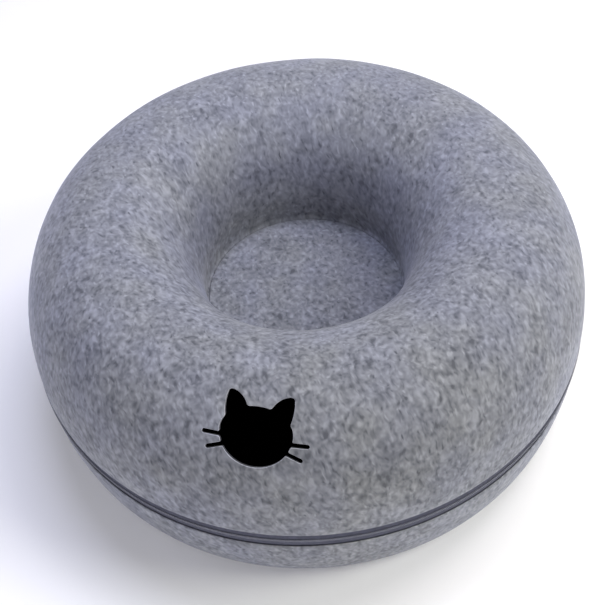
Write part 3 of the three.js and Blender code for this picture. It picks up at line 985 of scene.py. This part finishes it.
def zip_coil(name, side, shift):
    """A straight coil along X, moved along by a share of a turn, then bent round the bed."""
    deselect_everything()
    bpy.ops.mesh.primitive_circle_add(
        vertices=THREAD_SIDES, radius=THREAD / 2 * MM, rotation=(math.pi / 2, 0, 0)
    )
    coil = bpy.context.object
    coil.name = coil.data.name = name
    bpy.ops.transform.translate(value=(0, 0, (COIL_WIDTH - THREAD) / 2 * MM))
    bpy.ops.object.transform_apply()
    apply_modifier(
        coil,
        "SCREW",
        axis="X",
        angle=math.tau,
        screw_offset=pitch * MM,
        steps=TURN_STEPS,
        render_steps=TURN_STEPS,
        use_normal_calculate=True,
    )
    apply_modifier(
        coil,
        "ARRAY",
        count=turns,
        use_relative_offset=False,
        use_constant_offset=True,
        constant_offset_displace=(pitch * MM, 0, 0),
        use_merge_vertices=True,
        merge_threshold=TURN_MERGE * MM,
    )
    bpy.ops.transform.resize(value=(1, COIL_DEPTH / COIL_WIDTH, 1), center_override=(0, 0, 0))
    middle_height = ZIP_HEIGHT + side * (COIL_WIDTH / 2 - COIL_OVERLAP)
    along = (shift - turns / 2) * pitch
    bpy.ops.transform.translate(value=(along * MM, 0, middle_height * MM))
    bpy.ops.object.transform_apply()
    apply_modifier(
        coil,
        "SIMPLE_DEFORM",
        deform_method="BEND",
        deform_axis="Z",
        angle=coil.dimensions.x / (COIL_RADIUS * MM),
    )
    bpy.ops.transform.translate(value=(0, -COIL_RADIUS * MM, 0))
    bpy.ops.object.transform_apply()
    bpy.ops.object.mode_set(mode="EDIT")
    turn_outwards()
    coil.data.materials.append(NYLON)
    smooth(coil, 60)
    return coil


upper_coil = zip_coil("zip_coil_on_top_shell", 1, 0)
lower_coil = zip_coil("zip_coil_on_bottom_shell", -1, 0.5)
print(turns, "turns a coil, one each", round(pitch, 4), "mm")

# %% [markdown]
# ## Slider and pull
#
# The slider is a small casting of zinc with a grey plated finish. Its body is a tapered block whose sides
# are hollowed where the tapes and coils pass through. A half ring on top holds the pull, a thin tab
# with a hole at one end and a shallow recess for the finger. Everything is drawn flat and then turned to
# face the back of the bed, where the zip ends meet. Metal shows its wear in its shine more than in its
# colour, so the finish puts its noise on the roughness.

# %% Plated zinc finish
RUB_SIZE = 1.25  # mm
SHINIEST, DULLEST = 0.28, 0.45  # roughness


def plated_zinc(name, colour):
    """Cast zinc under a thin dark plating: a clear dark shine, dulled in spots where it is handled."""
    metal = new_finish(name)
    in_mm = in_millimetres(metal)
    handling = add_node(metal, "TexNoise", {"Vector": in_mm, "Scale": 1 / RUB_SIZE, "Detail": 4.0})
    rubbed = add_node(metal, "MapRange", {0: handling, 1: 0.35, 2: 0.7, 3: SHINIEST, 4: DULLEST})
    bump = add_node(metal, "Bump", {"Height": handling, "Strength": 0.15, "Distance": 0.05 * MM})
    shader = add_node(
        metal,
        "BsdfPrincipled",
        {"Base Color": linear(colour), "Metallic": 1.0, "Roughness": rubbed, "Normal": bump},
    )
    return finish_with(metal, shader)


ZINC = plated_zinc("gunmetal_plated_zinc", "#6d6f78")
print("finish made:", ZINC.name)

# %% Slider
SLIDER_BACK, SLIDER_DEPTH = 249.6, 2.0
SLIDER_OUTLINE = [(-5, -2.5), (-2.5, -3.8), (5, -3.8), (5, 3.8), (-2.5, 3.8), (-5, 2.5)]
CHANNEL_RIM, CHANNEL_DEPTH = 0.45, 0.5
ARCH_RADIUS, ARCH_THREAD, ARCH_STRETCH, ARCH_SINK, ARCH_CUT = 2.05, 0.4, 2.0, 0.3, 0.6
facing_back = Matrix(((-1, 0, 0, 0), (0, 0, 1, 0), (0, 1, 0, ZIP_HEIGHT * MM), (0, 0, 0, 1)))


def turn_to_back(piece, distance):
    """Lays a flat drawing against the back of the bed, this many mm from the axis."""
    pick(piece)
    piece.matrix_world = facing_back @ Matrix.Translation((0, 0, distance * MM))
    bpy.ops.object.transform_apply()
    piece.data.materials.append(ZINC)
    smooth(piece, 35)


slider = punch("zip_slider_body", SLIDER_OUTLINE, SLIDER_DEPTH)
edit_where(slider, "FACE", lambda face: abs(face.normal.z) < 0.5)
bpy.ops.mesh.inset(thickness=CHANNEL_RIM * MM, depth=-CHANNEL_DEPTH * MM, use_individual=True)
bpy.ops.object.mode_set(mode="OBJECT")
soften_edges(slider, width=0.3, degrees=30, segments=3)

deselect_everything()
bpy.ops.mesh.primitive_torus_add(
    major_radius=ARCH_RADIUS * MM,
    minor_radius=ARCH_THREAD * MM,
    major_segments=28,
    minor_segments=12,
    rotation=(math.pi / 2, 0, 0),
    location=(0, 0, (SLIDER_DEPTH - ARCH_SINK) * MM),
)
bpy.ops.transform.resize(value=(1, ARCH_STRETCH, 1))
bpy.ops.object.transform_apply()
bpy.ops.object.mode_set(mode="EDIT")
bpy.ops.mesh.select_all(action="SELECT")
bpy.ops.mesh.bisect(
    plane_co=(0, 0, (SLIDER_DEPTH - ARCH_CUT) * MM), plane_no=(0, 0, 1), use_fill=True, clear_inner=True
)
bpy.ops.object.mode_set(mode="OBJECT")
slider.select_set(True)
bpy.context.view_layer.objects.active = slider
bpy.ops.object.join()
turn_to_back(slider, SLIDER_BACK)

# %% Pull
PULL_LIFT, PULL_THICKNESS = SLIDER_BACK + SLIDER_DEPTH + CLEARANCE, 0.8
PULL_START, PULL_END, PULL_HALF = -0.9, 21.1, 3.0
PULL_HOLE = [(0.9, -1.9), (4.5, -1.9), (4.5, 1.9), (0.9, 1.9)]
PULL_RECESS = [(7, -1.7), (17.5, -1.7), (18.6, 0), (17.5, 1.7), (7, 1.7)]
RECESS_DEPTH = 0.2


def cut_prism(piece, outline, from_height, depth):
    """Takes a prism out of a flat piece, from this height upwards."""
    prism = punch("prism", outline, depth)
    bpy.ops.transform.translate(value=(0, 0, from_height * MM))
    bpy.ops.object.transform_apply()
    apply_modifier(piece, "BOOLEAN", operation="DIFFERENCE", solver="EXACT", object=prism)
    bpy.data.objects.remove(prism)


pull_outline = [(PULL_START, -PULL_HALF), (PULL_END - PULL_HALF, -PULL_HALF)]
pull_outline += corner((PULL_END - PULL_HALF, 0), PULL_HALF, -90, 90, steps=16)[1:-1]
pull_outline += [(PULL_END - PULL_HALF, PULL_HALF), (PULL_START, PULL_HALF)]
pull = punch("zip_pull_tab", pull_outline, PULL_THICKNESS)
cut_prism(pull, PULL_HOLE, -PULL_THICKNESS, 3 * PULL_THICKNESS)
cut_prism(pull, PULL_RECESS, PULL_THICKNESS - RECESS_DEPTH, PULL_THICKNESS)
soften_edges(pull, width=0.14, degrees=40)
turn_to_back(pull, PULL_LIFT)

# %% [markdown]
# ## Floor and light
#
# The bed stands on a plain pale floor. The light is a studio's: soft boxes with tinted gels, and a pale
# room that fills the shadows. Each light is given by where it hangs, as an angle round the bed and an
# angle up, and it is aimed at the middle of the bed.

# %% Floor
FLOOR_SIZE, FLOOR_BELOW = 12.0, 0.1 * MM  # metres; it lies just under the felt
PAPER_TONE_SIZE = 1000 / 3  # mm
bpy.ops.mesh.primitive_plane_add(size=FLOOR_SIZE, location=(0, 0, -FLOOR_BELOW))
studio_floor = bpy.context.object
studio_floor.name = "studio_floor"


def matt_paper(name, dark, light):
    """Uncoated paper, with no gloss at all, so that nothing but the soft shadow shows on it."""
    paper = new_finish(name)
    in_mm = in_millimetres(paper)
    tone = add_node(paper, "TexNoise", {"Vector": in_mm, "Scale": 1 / PAPER_TONE_SIZE, "Detail": 2.0})
    colours = add_node(paper, "ValToRGB", {0: tone}, [(0, linear(dark)), (1, linear(light))])
    shader = add_node(paper, "BsdfPrincipled", {"Base Color": colours, "Roughness": 1.0})
    return finish_with(paper, shader)


studio_floor.data.materials.append(matt_paper("matt_white_paper", "#f3f3f4", "#f8f8f9"))
print("floor is", FLOOR_SIZE, "m wide and lies", FLOOR_BELOW / MM, "mm under the felt")

# %% Lights
LIGHTS = {
    # name: (degrees from the front to the right, degrees up, metres away, metres wide, watts, colour)
    "right": (90, 40, 2.2, 1.0, 24.0, "#fffff4"),
    "back_right": (135, 60, 2.2, 1.0, 21.6, "#fffafd"),
    "low_front": (0, 22, 2.2, 1.0, 19.4, "#faf8ff"),
    "low_left": (-108, 8, 2.2, 1.0, 9.2, "#e4e6ff"),
    "low_back_right": (135, 8, 2.2, 1.0, 8.3, "#fffeff"),
    "over_the_back": (-150, 75, 1.0, 0.5, 6.1, "#e0e4ff"),
}
world = bpy.data.worlds.new("pale_room")
world.use_nodes = True
world.node_tree.nodes["Background"].inputs["Color"].default_value = linear("#fdfdff")
world.node_tree.nodes["Background"].inputs["Strength"].default_value = 0.2
bpy.context.scene.world = world
bpy.context.scene.view_settings.view_transform = "Standard"

for name, (azimuth, elevation, distance, size, power, colour) in LIGHTS.items():
    a, e = math.radians(azimuth), math.radians(elevation)
    away = Vector((math.sin(a) * math.cos(e), -math.cos(a) * math.cos(e), math.sin(e)))
    bpy.ops.object.light_add(type="AREA", location=middle + away * distance)
    light = bpy.context.object
    light.name = name
    light.rotation_mode = "QUATERNION"
    light.rotation_quaternion = away.to_track_quat("Z", "Y")
    light.data.shape = "DISK"
    light.data.size = size
    light.data.energy = power
    light.data.color = linear(colour)[:3]
print(len(LIGHTS), "soft boxes of", round(sum(row[4] for row in LIGHTS.values())), "watts in all")

# %% [markdown]
# ## Hand the pieces to the frame
#
# Each fine piece takes the place of the plain CAD node that it was modelled after, and rides with the
# bed's one body. The table also lists the material slot of the imported record that each piece stands
# for. Moulding stretched the felt, by about 4 per cent in the bottom and 15 in the top, so the flat blanks
# that it was cut from were smaller than the shells' surface.

# %% Ride and replace
FINE_PIECES = (
    (top_shell, "felt_top_shell", "felt"),
    (bottom_shell, "felt_bottom_shell", "felt"),
    (round_floor, "well_floor", "felt_floor"),
    (upper_tape, "zip_tape_upper", "zip_tape"),
    (lower_tape, "zip_tape_lower", "zip_tape"),
    (upper_coil, "zip_coil_upper", "zip_coil"),
    (lower_coil, "zip_coil_lower", "zip_coil"),
    (slider, "zip_slider", "zip_metal"),
    (pull, "zip_pull", "zip_metal"),
)
for piece, node, slot in FINE_PIECES:
    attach(piece, "root")
    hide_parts(node)
print(len(FINE_PIECES), "fine pieces stand for", len(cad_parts), "CAD nodes")
